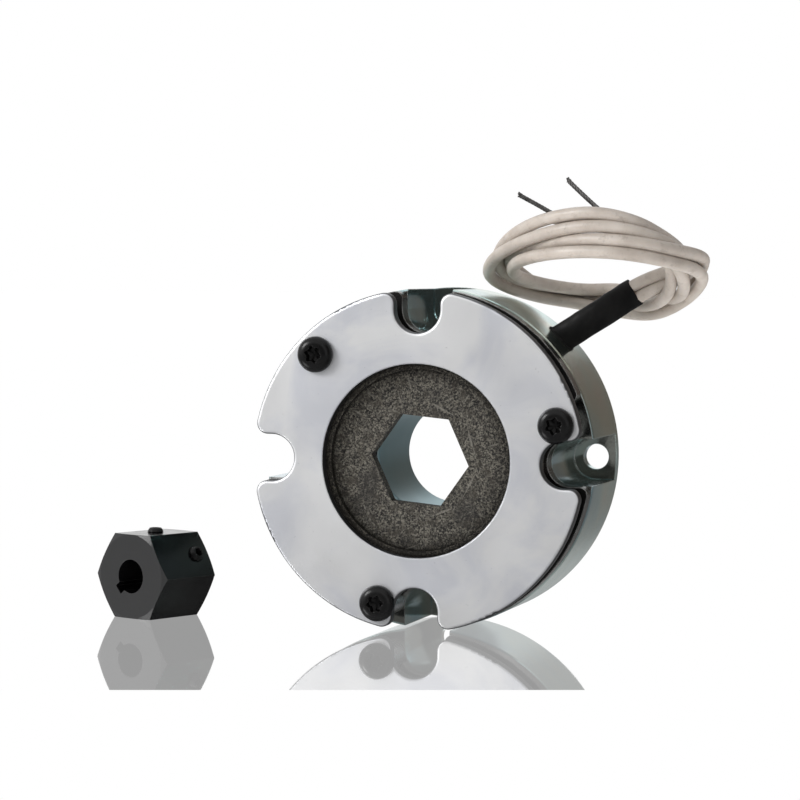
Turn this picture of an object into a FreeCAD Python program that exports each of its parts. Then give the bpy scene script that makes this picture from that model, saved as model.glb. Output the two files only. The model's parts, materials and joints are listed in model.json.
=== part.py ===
import FreeCAD, Part
import Sketcher
import math
import os

# Spring-applied electromagnetic brake. Millimetres, +Z up. The main axis is Y: the mounting face is at Y = 0
# and the pressure plate's face looks along -Y. A station is a distance in front of the mounting face.

os.makedirs("parts", exist_ok=True)
doc = FreeCAD.newDocument("SpringBrake")
sheet = doc.addObject("Spreadsheet::Sheet", "Size")

SIZES = [
    # magnet body; MountEdge is from the rim to the middle of a mounting hole
    ("BodyDia", 62.3), ("BodyDepth", 20.3), ("RimChamfer", 0.3), ("FlangeThickness", 2.2),
    ("PocketWidth", 8.5), ("MountEdge", 3.85), ("MountHoleDia", 4.7), ("MountCount", 4),
    # coil and the groove that holds it; PocketWall is the steel left between groove and mounting pockets,
    # PoleWall the steel between groove and bore
    ("GrooveWidth", 6.5), ("PocketWall", 1.55), ("PoleWall", 5.55), ("GrooveDepth", 15.6),
    ("BobbinWall", 0.8), ("PottingDepth", 1.1), ("SeatClearance", 0.05),
    # pressure springs
    ("SpringCount", 6), ("SpringDia", 3.2), ("SpringWire", 0.5), ("SpringPlay", 0.3),
    ("SpringPocketDepth", 8.0), ("SpringRibs", 3),
    # armature plate; its bore is ArmatureStep wider all round than the magnet body's, and the thin tooth
    # between a pocket's notch and a spacer's notch is cut away ToothWidth wide
    ("AirGap", 0.3), ("ArmatureInset", 0.15), ("ArmatureThickness", 3.0), ("ArmatureStep", 0.75),
    ("ArmatureNotch", 6.8), ("ArmatureCorner", 1.4), ("ToothWidth", 4.0),
    # friction disc; DiscGap is from its rim to the spacers
    ("DiscGap", 1.55), ("DiscThickness", 3.6), ("RubRingInner", 33.0), ("DiscRelief", 1.0),
    ("HexPlay", 0.08), ("DiscTurn", -5.35),
    # pressure plate
    ("PlateInset", 0.25), ("PlateThickness", 2.0), ("PlateOpening", 35.1), ("PlateCorner", 2.0),
    ("PlateEdge", 0.5),
    # screws and spacers; ScrewEdge is from the rim to the middle of a screw
    ("ScrewCount", 3), ("ScrewEdge", 4.35), ("ScrewStart", 15.1), ("ScrewDia", 3.5), ("ScrewReach", 8.0),
    ("HeadDia", 6.6), ("HeadHeight", 1.9), ("RecessDia", 2.9), ("RecessDepth", 1.0), ("SpacerDia", 5.5),
    ("ScrewPlay", 0.2), ("ThreadChamfer", 0.3),
    # hub
    ("HubAcross", 15.72), ("HubDepth", 13.7), ("HubBore", 6.35), ("HubCorner", 0.35), ("KeyWidth", 2.0),
    ("KeyDepth", 1.0), ("KeyTurn", 220.0), ("HubX", -56.1), ("HubY", -25.4), ("HubTurn", 22.96),
    ("SetScrewDia", 3.0), ("SetScrewReach", 5.3), ("SetScrewSocket", 1.5), ("SetScrewTaper", 0.4),
    ("ShaftGap", 0.3),
    ("TopSetScrew", 6.6), ("SideSetScrew", 10.4),
    # leads; LeadsStraight is their straight run past the sleeve
    ("LeadDia", 2.3), ("LeadTurn", 44.9), ("LeadStation", 9.2), ("GrommetWall", 0.5),
    ("GrommetFlange", 0.6), ("GrommetRim", 0.5), ("SleeveWall", 0.3), ("SleeveReach", 15.0),
    ("SleeveTurn", 32.7), ("LeadsStraight", 3.6), ("BareDia", 1.0),
    ("CoilLong", 41.8), ("CoilShort", 29.0), ("CoilThick", 6.4),
    # how far a cut runs past the metal
    ("Overrun", 1.0),
]

# Sizes that follow from the ones above.
FOLLOWING = [
    ("MountCircle", "=BodyDia - 2 * MountEdge"),
    ("GrooveOuterDia", "=MountCircle - PocketWidth - 2 * PocketWall"),
    ("GrooveInnerDia", "=GrooveOuterDia - 2 * GrooveWidth"),
    ("BoreDia", "=GrooveInnerDia - 2 * PoleWall"),
    ("SpringCircle", "=BoreDia + PoleWall"),
    ("ArmatureBore", "=BoreDia + 2 * ArmatureStep"),
    ("ScrewCircle", "=BodyDia - 2 * ScrewEdge"),
    ("DiscDia", "=ScrewCircle - SpacerDia - 2 * DiscGap"),
    ("ArmatureDia", "=BodyDia - 2 * ArmatureInset"),
    ("PlateDia", "=BodyDia - 2 * PlateInset"),
]
for row, (alias, value) in enumerate(SIZES + FOLLOWING, 1):
    sheet.set("A%d" % row, alias)
    sheet.set("B%d" % row, str(value))
    sheet.setAlias("B%d" % row, alias)
doc.recompute()
size = {alias: float(sheet.get(alias)) for alias, value in SIZES + FOLLOWING}

# Stations of the stack, as expressions of the sizes above.
POLE = "Size.BodyDepth"
ARMATURE_REAR = POLE + " + Size.AirGap"
DISC_REAR = ARMATURE_REAR + " + Size.ArmatureThickness"
PLATE_REAR = DISC_REAR + " + Size.DiscThickness"
PLATE_FRONT = PLATE_REAR + " + Size.PlateThickness"
PAST_RIM = "Size.BodyDia / 2 + Size.Overrun"

# The two leads lie side by side, so the hole, grommet and sleeve round them are flat-sided ovals.
PAIR_WIDE = "(2 * Size.LeadDia + 2 * Size.SeatClearance)"
PAIR_DEEP = "(Size.LeadDia + 2 * Size.SeatClearance)"
GROMMET_WIDE = "(%s + 2 * Size.GrommetWall)" % PAIR_WIDE
GROMMET_DEEP = "(%s + 2 * Size.GrommetWall)" % PAIR_DEEP

nodes = {}


def own(part, label):
    """Give a sub-part its name and remember it for the export."""
    part.Label = label
    nodes[label] = part
    return part


def new_body(label):
    return own(doc.addObject("PartDesign::Body", label), label)


def origin_feature(body, role):
    return [f for f in body.Origin.OriginFeatures if f.Role == role][0]


def bind(thing, **formulas):
    """Bind properties to formulas; a double underscore in a name stands for a dot."""
    for name, formula in formulas.items():
        thing.setExpression(name.replace("__", "."), formula)


def sketch_on(body, name, role, station=None, turn=None):
    """A sketch on one of the body's own planes, moved forward by a station and turned about its normal."""
    sketch = body.newObject("Sketcher::SketchObject", name)
    sketch.AttachmentSupport = (origin_feature(body, role), [""])
    sketch.MapMode = "FlatFace"
    if turn is not None:
        about_normal = FreeCAD.Rotation(FreeCAD.Vector(0, 0, 1), 1)
        sketch.AttachmentOffset = FreeCAD.Placement(FreeCAD.Vector(), about_normal)
        bind(sketch, AttachmentOffset__Rotation__Angle=turn)
    if station is not None:
        bind(sketch, AttachmentOffset__Base__z=station)
    return sketch


def pin_point(sketch, geometry, corner, across, up):
    """Hold one point of a sketch at two formulas from the sketch's origin."""
    for kind, formula in (("DistanceX", across), ("DistanceY", up)):
        index = sketch.addConstraint(Sketcher.Constraint(kind, -1, 1, geometry, corner, 1.0))
        sketch.setExpression("Constraints[%d]" % index, formula)


def outline(sketch, corners):
    """A closed outline of straight edges through corners given as pairs of formulas."""
    count = len(corners)
    rough = [FreeCAD.Vector(5 * math.cos(2 * math.pi * k / count), 5 * math.sin(2 * math.pi * k / count), 0)
             for k in range(count)]
    first = sketch.GeometryCount
    for k in range(count):
        sketch.addGeometry(Part.LineSegment(rough[k], rough[(k + 1) % count]))
    for k in range(count):
        sketch.addConstraint(Sketcher.Constraint("Coincident", first + k, 2, first + (k + 1) % count, 1))
        pin_point(sketch, first + k, 1, *corners[k])
    return sketch


def circle(sketch, diameter, across="0", up="0"):
    index = sketch.addGeometry(Part.Circle(FreeCAD.Vector(1, 1, 0), FreeCAD.Vector(0, 0, 1), 2))
    pin_point(sketch, index, 3, across, up)
    constraint = sketch.addConstraint(Sketcher.Constraint("Diameter", index, 4.0))
    sketch.setExpression("Constraints[%d]" % constraint, diameter)
    return sketch


def pad(body, name, sketch, depth):
    feature = body.newObject("PartDesign::Pad", name)
    feature.Profile = sketch
    bind(feature, Length=depth)
    return feature


def pocket(body, name, sketch, depth, reverse=False):
    feature = body.newObject("PartDesign::Pocket", name)
    feature.Profile = sketch
    feature.Reversed = reverse
    bind(feature, Length=depth)
    return feature


def revolve(body, name, sketch):
    """Turn an outline about the body's own Y axis."""
    feature = body.newObject("PartDesign::Revolution", name)
    feature.Profile = sketch
    feature.ReferenceAxis = (sketch, ["V_Axis"])
    feature.Angle = 360
    return feature


def around(body, name, features, count):
    """Repeat features evenly about the body's Y axis."""
    pattern = body.newObject("PartDesign::PolarPattern", name)
    pattern.Originals = features
    pattern.Axis = (origin_feature(body, "Y_Axis"), [""])
    pattern.Angle = 360
    bind(pattern, Occurrences=count)
    body.Tip = pattern
    return pattern


def drill_around(body, name, diameter, circle_dia, station, depth, count, turn=None):
    """Round holes that stand evenly on a circle about the main axis."""
    sketch = sketch_on(body, name + "_sketch", "XZ_Plane", station, turn)
    circle(sketch, diameter, circle_dia + " / 2")
    around(body, name + "s", [pocket(body, name, sketch, depth)], count)


def round_edges(body, name, radius, wanted):
    """Fillet the edges of the body's tip that wanted(edge) picks."""
    doc.recompute()
    base = body.Tip
    picked = ["Edge%d" % (k + 1) for k, edge in enumerate(base.Shape.Edges) if wanted(edge)]
    if not picked:
        raise RuntimeError("no edges found for " + name)
    feature = body.newObject("PartDesign::Fillet", name)
    feature.Base = (base, picked)
    bind(feature, Radius=radius)
    return feature


def turned_body(label, corners):
    """A body of revolution about its own Y axis; corners are (radius, Y) formulas."""
    body = new_body(label)
    revolve(body, label + "_turned", outline(sketch_on(body, label + "_section", "XY_Plane"), corners))
    return body


def ring_corners(inner, outer, rear, front):
    """Section of a plain ring between two diameters and two stations."""
    return [(inner + " / 2", "-(%s)" % rear), (outer + " / 2", "-(%s)" % rear),
            (outer + " / 2", "-(%s)" % front), (inner + " / 2", "-(%s)" % front)]


def run_corners(start, end, width):
    """A straight run of one width between two distances from the axis."""
    return [(start, "-%s / 2" % width), (end, "-%s / 2" % width),
            (end, "%s / 2" % width), (start, "%s / 2" % width)]


def slot_cut(body, name, width, centre, station, depth, turn=None):
    """Two pockets that make one U-shaped slot, open at the rim: a round end and a straight run."""
    round_end = circle(sketch_on(body, name + "_round_sketch", "XZ_Plane", station, turn), width, centre)
    run = outline(sketch_on(body, name + "_run_sketch", "XZ_Plane", station, turn),
                  run_corners(centre, PAST_RIM, width))
    return [pocket(body, name + "_round", round_end, depth), pocket(body, name + "_run", run, depth)]


def along_y(edge):
    """True for a straight edge that runs along Y."""
    if not isinstance(edge.Curve, Part.Line):
        return False
    return abs(edge.tangentAt(edge.FirstParameter).y) > 0.99


def from_axis(edge):
    centre = edge.CenterOfMass
    return math.hypot(centre.x, centre.z)


def at_rim(edge, diameter):
    """True for an edge that lies on the rim of the given diameter."""
    return abs(from_axis(edge) - size[diameter] / 2) < 0.1


def volume_of(body):
    doc.recompute()
    return body.Shape.Volume


# Magnet body: a turned steel pot with a coil groove, four mounting pockets, spring and screw holes.
def make_magnet_body():
    half = "Size.BodyDia / 2"
    groove_floor = "-(Size.BodyDepth - Size.GrooveDepth)"
    body = turned_body("magnet_body", [
        ("Size.BoreDia / 2 + Size.RimChamfer", "0"),
        (half + " - Size.RimChamfer", "0"),
        (half, "-Size.RimChamfer"),
        (half, "-(Size.BodyDepth - Size.RimChamfer)"),
        (half + " - Size.RimChamfer", "-Size.BodyDepth"),
        ("Size.GrooveOuterDia / 2", "-Size.BodyDepth"),
        ("Size.GrooveOuterDia / 2", groove_floor),
        ("Size.GrooveInnerDia / 2", groove_floor),
        ("Size.GrooveInnerDia / 2", "-Size.BodyDepth"),
        ("Size.BoreDia / 2 + Size.RimChamfer", "-Size.BodyDepth"),
        ("Size.BoreDia / 2", "-(Size.BodyDepth - Size.RimChamfer)"),
        ("Size.BoreDia / 2", "-Size.RimChamfer"),
    ])
    slots = slot_cut(body, "mount_pocket", "Size.PocketWidth", "Size.MountCircle / 2",
                     POLE, "Size.BodyDepth - Size.FlangeThickness")
    around(body, "mount_pockets", slots, "Size.MountCount")
    drill_around(body, "mount_hole", "Size.MountHoleDia", "Size.MountCircle", "Size.FlangeThickness",
                 "Size.FlangeThickness + Size.Overrun", "Size.MountCount")
    drill_around(body, "spring_hole", "(Size.SpringDia + 2 * Size.SpringPlay)", "Size.SpringCircle", POLE,
                 "Size.SpringPocketDepth", "Size.SpringCount")
    drill_around(body, "screw_hole", "(Size.ScrewDia + 2 * Size.SeatClearance)", "Size.ScrewCircle", POLE,
                 "Size.ScrewReach + Size.Overrun", "Size.ScrewCount", "Size.ScrewStart")
    before = volume_of(body)
    middle = "(Size.GrooveInnerDia + Size.GrooveOuterDia) / 4"
    section = sketch_on(body, "lead_hole_sketch", "YZ_Plane")
    about_y = FreeCAD.Rotation(FreeCAD.Vector(1, 0, 0), -1)
    section.AttachmentOffset = FreeCAD.Placement(FreeCAD.Vector(), about_y)
    bind(section, AttachmentOffset__Rotation__Angle="-Size.LeadTurn",
         AttachmentOffset__Base__y="%s * sin(Size.LeadTurn)" % middle,
         AttachmentOffset__Base__z="%s * cos(Size.LeadTurn)" % middle)
    oval(section, GROMMET_WIDE, GROMMET_DEEP, "-Size.LeadStation")
    pocket(body, "lead_hole", section, "Size.BodyDia / 2", reverse=True)
    if volume_of(body) > before - 1:
        raise RuntimeError("the lead hole cuts nothing")
    return body


def oval(sketch, wide, deep, across="0"):
    """A flat-sided oval: wide up the sketch and deep across it, centred at a distance across."""
    straight = "((%s) - (%s)) / 2" % (wide, deep)
    up = FreeCAD.Vector(0, 0, 1)
    upper = Part.Circle(FreeCAD.Vector(-9, 1, 0), up, 1.5)
    lower = Part.Circle(FreeCAD.Vector(-9, -1, 0), up, 1.5)
    top = sketch.addGeometry(Part.ArcOfCircle(upper, 0, math.pi))
    low = sketch.addGeometry(Part.ArcOfCircle(lower, math.pi, 2 * math.pi))
    left = sketch.addGeometry(Part.LineSegment(FreeCAD.Vector(-10.5, 1, 0), FreeCAD.Vector(-10.5, -1, 0)))
    right = sketch.addGeometry(Part.LineSegment(FreeCAD.Vector(-7.5, -1, 0), FreeCAD.Vector(-7.5, 1, 0)))
    joints = ((top, 2, left, 1), (left, 2, low, 1), (low, 2, right, 1), (right, 2, top, 1))
    for one, end, other, start in joints:
        sketch.addConstraint(Sketcher.Constraint("Tangent", one, end, other, start))
    for side in (left, right):
        sketch.addConstraint(Sketcher.Constraint("Vertical", side))
    pin_point(sketch, top, 3, across, straight)
    index = sketch.addConstraint(Sketcher.Constraint("DistanceY", -1, 1, low, 3, -1.0))
    sketch.setExpression("Constraints[%d]" % index, "-" + straight)
    index = sketch.addConstraint(Sketcher.Constraint("Radius", top, 1.5))
    sketch.setExpression("Constraints[%d]" % index, "(%s) / 2" % deep)
    return sketch


# Coil: a bobbin with two flanges, the winding on it and a potting ring that closes the groove.
def make_coil():
    floor = "Size.BodyDepth - Size.GrooveDepth + Size.SeatClearance"
    front = POLE + " - Size.SeatClearance - Size.PottingDepth"
    inner = "(Size.GrooveInnerDia / 2 + Size.SeatClearance)"
    core = "(Size.GrooveInnerDia / 2 + Size.SeatClearance + Size.BobbinWall)"
    outer = "(Size.GrooveOuterDia / 2 - Size.SeatClearance)"
    rear_flange = "-(%s + Size.BobbinWall)" % floor
    front_flange = "-(%s - Size.BobbinWall)" % front
    turned_body("coil_bobbin", [
        (inner, "-(%s)" % floor), (outer, "-(%s)" % floor), (outer, rear_flange), (core, rear_flange),
        (core, front_flange), (outer, front_flange), (outer, "-(%s)" % front), (inner, "-(%s)" % front),
    ])
    full = outer + " - Size.BobbinWall"
    turned_body("coil_winding", [
        (core, rear_flange), (full, rear_flange), (full, front_flange), (core, front_flange),
    ])
    turned_body("coil_potting", [
        (inner, "-(%s)" % front), (outer, "-(%s)" % front),
        (outer, "-(%s - Size.SeatClearance)" % POLE), (inner, "-(%s - Size.SeatClearance)" % POLE),
    ])


# Pressure springs: each is the ribbed outer form of its coils, from its pocket's floor to the armature plate.
def make_springs():
    steps = 2 * int(size["SpringRibs"])
    reach = "(Size.SpringPocketDepth + Size.AirGap)"
    floor = "(Size.BodyDepth - Size.SpringPocketDepth)"
    crest = "Size.SpringDia / 2"
    valley = "(Size.SpringDia / 2 - Size.SpringWire / 3)"
    corners = []
    for k in range(steps + 1):
        station = "-(%s + %s * %d / %d)" % (floor, reach, k, steps)
        corners.append((valley if k % 2 else crest, station))
    for station in (corners[-1][1], corners[0][1]):
        corners.append((valley + " - Size.SpringWire", station))
    for number in range(int(size["SpringCount"])):
        body = turned_body("pressure_spring_%d" % (number + 1), corners)
        stand_on_circle(body, "Size.SpringCircle", "360 / Size.SpringCount * %d" % number)


def stand_on_circle(body, circle_dia, turn):
    """Move a turned body out to a circle about the main axis."""
    bind(body, Placement__Base__x="%s / 2 * cos(%s)" % (circle_dia, turn),
         Placement__Base__z="%s / 2 * sin(%s)" % (circle_dia, turn))


# Armature plate: a steel ring, cut at the rim for the mounting pockets and for the three spacers.
def make_armature_plate():
    body = turned_body("armature_plate", ring_corners("Size.ArmatureBore", "Size.ArmatureDia",
                                                      ARMATURE_REAR, DISC_REAR))
    depth = "Size.ArmatureThickness + Size.Overrun"
    slots = slot_cut(body, "pocket_notch", "Size.PocketWidth", "Size.MountCircle / 2", DISC_REAR, depth)
    around(body, "pocket_notches", slots, "Size.MountCount")
    slots = slot_cut(body, "spacer_notch", "Size.ArmatureNotch", "Size.ScrewCircle / 2", DISC_REAR, depth,
                     "Size.ScrewStart")
    around(body, "spacer_notches", slots, "Size.ScrewCount")
    # Two of the screws stand beside a mounting pocket: the thin tooth between the two cuts is left out.
    for name, turn in (("right_bridge", "Size.ScrewStart / 2"), ("low_bridge", "270 - Size.ScrewStart / 2")):
        bridge = outline(sketch_on(body, name + "_sketch", "XZ_Plane", DISC_REAR, turn),
                         run_corners("Size.ScrewCircle / 2", PAST_RIM, "Size.ToothWidth"))
        pocket(body, name, bridge, depth)
    round_edges(body, "notch_corners", "Size.ArmatureCorner",
                lambda edge: along_y(edge) and at_rim(edge, "ArmatureDia"))
    return body


# Friction disc: rubbing ring, a web set back on the front, and the hexagonal hole that takes the hub.
def make_friction_disc():
    rear = "-(%s)" % DISC_REAR
    front = "-(%s)" % PLATE_REAR
    web = front + " + Size.DiscRelief"
    body = turned_body("friction_disc", [
        ("0", rear), ("Size.DiscDia / 2", rear), ("Size.DiscDia / 2", front),
        ("Size.RubRingInner / 2", front), ("Size.RubRingInner / 2", web), ("0", web)])
    hexagon = outline(sketch_on(body, "hexagon_sketch", "XZ_Plane", PLATE_REAR, "Size.DiscTurn"),
                      hexagon_corners("(Size.HubAcross + 2 * Size.HexPlay)"))
    pocket(body, "hexagon", hexagon, "Size.DiscThickness + Size.Overrun")
    return body


def hexagon_corners(across):
    return [("%s / sqrt(3) * cos(%d)" % (across, turn), "%s / sqrt(3) * sin(%d)" % (across, turn))
            for turn in range(0, 360, 60)]


# Pressure plate: a stamped plate with rolled front edges, four notches, the opening and three screw holes.
def make_pressure_plate():
    body = turned_body("pressure_plate", ring_corners("Size.PlateOpening", "Size.PlateDia",
                                                      PLATE_REAR, PLATE_FRONT))
    depth = "Size.PlateThickness + Size.Overrun"
    slots = slot_cut(body, "plate_notch", "Size.PocketWidth", "Size.MountCircle / 2", PLATE_FRONT, depth)
    around(body, "plate_notches", slots, "Size.MountCount")
    drill_around(body, "plate_hole", "(Size.ScrewDia + 2 * Size.ScrewPlay)", "Size.ScrewCircle", PLATE_FRONT,
                 depth, "Size.ScrewCount", "Size.ScrewStart")
    round_edges(body, "notch_corners", "Size.PlateCorner",
                lambda edge: along_y(edge) and at_rim(edge, "PlateDia"))
    doc.recompute()
    front = min(vertex.Y for vertex in body.Tip.Shape.Vertexes)
    round_edges(body, "rolled_edge", "Size.PlateEdge",
                lambda edge: not edge.isClosed() and abs(edge.BoundBox.YMin - front) < 0.01
                and edge.BoundBox.YLength < 0.01)
    return body


# Three button-head screws, each through a spacer tube that keeps the pressure plate off the magnet body.
def make_screws():
    tip = "-(%s - Size.ScrewReach)" % POLE
    seat = "-(%s)" % PLATE_FRONT
    top = "-(%s + Size.HeadHeight)" % PLATE_FRONT
    for number in range(int(size["ScrewCount"])):
        turn = "(Size.ScrewStart + 360 / Size.ScrewCount * %d)" % number
        screw = turned_body("plate_screw_%d" % (number + 1), [
            ("0", tip), ("Size.ScrewDia / 2 - Size.ThreadChamfer", tip),
            ("Size.ScrewDia / 2", tip + " - Size.ThreadChamfer"),
            ("Size.ScrewDia / 2", seat), ("Size.HeadDia / 2", seat), ("Size.HeadDia / 2", top),
            ("Size.RecessDia / 2", top), ("Size.RecessDia / 2", top + " + Size.RecessDepth"),
            ("0", top + " + Size.RecessDepth")])
        doc.recompute()
        face = min(vertex.Y for vertex in screw.Tip.Shape.Vertexes)
        round_edges(screw, "button", "min(Size.HeadHeight * 0.8; (Size.HeadDia - Size.RecessDia) * 0.45)",
                    lambda edge: abs(edge.BoundBox.YMin - face) < 0.01
                    and abs(edge.BoundBox.XLength - size["HeadDia"]) < 0.1)
        spacer = turned_body("spacer_tube_%d" % (number + 1), ring_corners(
            "(Size.ScrewDia + Size.ScrewPlay)", "Size.SpacerDia", POLE, PLATE_REAR))
        for body in (screw, spacer):
            stand_on_circle(body, "Size.ScrewCircle", turn)


SET_SCREWS = (("top_set_screw", 90, "Size.TopSetScrew"), ("side_set_screw", 30, "Size.SideSetScrew"))


# Hub: a hexagon with turned corners, bored and keyed for the shaft, with two set screws. It stands on a flat
# beside the brake. Its own Y axis starts at the end that faces the viewer.
def make_hub():
    body = new_body("hub")
    pad(body, "hexagon", outline(sketch_on(body, "hexagon_sketch", "XZ_Plane", "-Size.HubDepth"),
                                 hexagon_corners("Size.HubAcross")), "Size.HubDepth")
    corner = "Size.HubAcross / sqrt(3) + Size.Overrun"
    flat = "Size.HubAcross / 2"
    for name, end, inward in (("near_corners", "0", ""), ("far_corners", "Size.HubDepth", "-")):
        doc.recompute()
        cut = body.newObject("PartDesign::Groove", name)
        deepest = "%s + %s(%s - %s) * Size.HubCorner" % (end, inward, corner, flat)
        cut.Profile = outline(sketch_on(body, name + "_section", "XY_Plane"), [
            (flat, end), (corner, end), (corner, deepest)])
        cut.ReferenceAxis = (cut.Profile[0], ["V_Axis"])
        cut.Angle = 360
    bore = circle(sketch_on(body, "bore_sketch", "XZ_Plane", "0"), "Size.HubBore")
    pocket(body, "bore", bore, "Size.HubDepth + Size.Overrun")
    keyway = outline(sketch_on(body, "keyway_sketch", "XZ_Plane", "0", "Size.KeyTurn"),
                     run_corners("0", "Size.HubBore / 2 + Size.KeyDepth", "Size.KeyWidth"))
    pocket(body, "keyway", keyway, "Size.HubDepth + Size.Overrun")
    for name, turn, along in SET_SCREWS:
        hole = sketch_on(body, name + "_hole_sketch", "YZ_Plane")
        about_y = FreeCAD.Rotation(FreeCAD.Vector(1, 0, 0), -turn)
        hole.AttachmentOffset = FreeCAD.Placement(FreeCAD.Vector(), about_y)
        circle(hole, "Size.SetScrewDia + 2 * Size.SeatClearance", along)
        pocket(body, name + "_hole", hole, "Size.HubAcross", reverse=True)
    stand_hub(body)
    for name, turn, along in SET_SCREWS:
        near = "Size.HubBore / 2 + Size.ShaftGap"
        far = near + " + Size.SetScrewReach"
        screw = new_body(name)
        section = sketch_on(screw, name + "_section", "XZ_Plane")
        tapered = "Size.SetScrewDia / 2 - Size.SetScrewTaper"
        outline(section, [
            ("0", near), (tapered, near), ("Size.SetScrewDia / 2", near + " + Size.SetScrewTaper"),
            ("Size.SetScrewDia / 2", far + " - Size.SetScrewTaper"), (tapered, far),
            ("Size.SetScrewSocket / 2", far), ("Size.SetScrewSocket / 2", far + " - Size.SetScrewSocket"),
            ("0", far + " - Size.SetScrewSocket")])
        revolve(screw, name + "_turned", section)
        stand_hub(screw, turn - 90, along)


def stand_hub(body, roll=0, along="0"):
    """Stand the hub, or a piece of it, on the surface that the brake stands on."""
    body.Placement.Rotation = (FreeCAD.Rotation(FreeCAD.Vector(0, 0, 1), -size["HubTurn"])
                               * FreeCAD.Rotation(FreeCAD.Vector(0, 1, 0), -roll))
    bind(body, Placement__Base__x="Size.HubX + %s * sin(Size.HubTurn)" % along,
         Placement__Base__y="Size.HubY + %s * cos(Size.HubTurn)" % along,
         Placement__Base__z="(Size.HubAcross - Size.BodyDia) / 2")


# Lead exit: a rubber grommet in the rim's hole and a shrink sleeve that leans out of it.
def make_lead_exit():
    grommet = new_body("lead_grommet")
    wall = "(Size.BodyDia - Size.GrooveOuterDia) / 2"
    pad(grommet, "bush", oval(sketch_on(grommet, "bush_sketch", "YZ_Plane", "-" + wall),
                              GROMMET_WIDE, GROMMET_DEEP), wall)
    rim_wide = GROMMET_WIDE + " + 2 * Size.GrommetRim"
    rim_deep = GROMMET_DEEP + " + 2 * Size.GrommetRim"
    pad(grommet, "flange", oval(sketch_on(grommet, "flange_sketch", "YZ_Plane"), rim_wide, rim_deep),
        "Size.GrommetFlange")
    pocket(grommet, "way", oval(sketch_on(grommet, "way_sketch", "YZ_Plane", "Size.GrommetFlange"),
                                PAIR_WIDE, PAIR_DEEP), wall + " + 2 * Size.GrommetFlange")
    stand_at_exit(grommet, "LeadTurn", "0")
    sleeve = new_body("lead_sleeve")
    pad(sleeve, "shrink", oval(sketch_on(sleeve, "shrink_sketch", "YZ_Plane"),
                               PAIR_WIDE + " + 2 * Size.SleeveWall", PAIR_DEEP + " + 2 * Size.SleeveWall"),
        "Size.SleeveReach")
    pocket(sleeve, "way", oval(sketch_on(sleeve, "way_sketch", "YZ_Plane", "Size.SleeveReach"),
                               PAIR_WIDE, PAIR_DEEP), "Size.SleeveReach + Size.Overrun")
    # The sleeve leans, so its lower edge stands on the grommet's flange and its middle is lifted.
    start = ("((Size.GrommetFlange + Size.SeatClearance + (%s / 2 + Size.SleeveWall)"
             " * sin(Size.LeadTurn - Size.SleeveTurn)) / cos(Size.LeadTurn - Size.SleeveTurn))" % PAIR_WIDE)
    stand_at_exit(sleeve, "SleeveTurn", start)


def stand_at_exit(body, turn_name, start):
    """Stand a body that is made along X at the lead exit in the rim, turned up, a little way along its X."""
    turn = "Size." + turn_name
    body.Placement.Rotation = FreeCAD.Rotation(FreeCAD.Vector(0, 1, 0), -size[turn_name])
    bind(body, Placement__Base__x="Size.BodyDia / 2 * cos(Size.LeadTurn) + %s * cos(%s)" % (start, turn),
         Placement__Base__z="Size.BodyDia / 2 * sin(Size.LeadTurn) + %s * sin(%s)" % (start, turn),
         Placement__Base__y="-Size.LeadStation")


# Leads. The coil's middle line is an oval in space. Its centre is given from the point where the leads leave
# the rim; the leads' way into the coil and the bare ends are given from its centre.
COIL_FROM_EXIT = FreeCAD.Vector(6.9, -3.9, 13.3)
COIL_LONG = FreeCAD.Vector(0.813, -0.572, 0.113).normalize()
COIL_NORMAL = COIL_LONG.cross(FreeCAD.Vector(-0.572, -0.744, 0.346)).normalize()
COIL_SHORT = COIL_NORMAL.cross(COIL_LONG)
LEADS_ENTER = FreeCAD.Vector(18.9, -4.9, -0.4)
BARE_ENDS = (
    (FreeCAD.Vector(-11.8, -11.1, 12.8), FreeCAD.Vector(-4.7, -12.6, 9.9), FreeCAD.Vector(-2.0, -14.2, 5.5)),
    (FreeCAD.Vector(-2.8, -11.1, 15.5), FreeCAD.Vector(2.3, -12.6, 10.9), FreeCAD.Vector(4.0, -15.8, 5.4)),
)


def feature(label, shape):
    part = own(doc.addObject("Part::Feature", label), label)
    part.Shape = shape
    return part


def route_tube(points, diameter, label):
    """A tube of straight runs joined by tangent arcs, each arc as large as its two runs allow."""
    edges = []
    start = points[0]
    for before, corner, after in zip(points, points[1:], points[2:]):
        back = (before - corner)
        ahead = (after - corner)
        turn = math.pi - back.getAngle(ahead)
        reach = 0.45 * min(back.Length, ahead.Length)
        radius = reach / math.tan(turn / 2)
        back.normalize()
        ahead.normalize()
        bisector = (back + ahead).normalize()
        middle = corner + bisector * (math.hypot(radius, reach) - radius)
        edges.append(Part.LineSegment(start, corner + back * reach).toShape())
        edges.append(Part.Arc(corner + back * reach, middle, corner + ahead * reach).toShape())
        start = corner + ahead * reach
        bend = (label, radius, radius / diameter, math.degrees(turn))
        print("%s: bend radius %.1f, %.1f diameters, turn %.0f degrees" % bend)
    edges.append(Part.LineSegment(start, points[-1]).toShape())
    path = Part.Wire(edges)
    ring = Part.Wire([Part.makeCircle(diameter / 2, points[0], points[1] - points[0])])
    tube = path.makePipeShell([ring], True, True)
    expected = math.pi * diameter ** 2 / 4 * path.Length
    if abs(tube.Volume - expected) > 0.01 * expected:
        raise RuntimeError(label + " has the wrong volume")
    print("%s: length %.1f" % (label, path.Length))
    return tube


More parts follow.
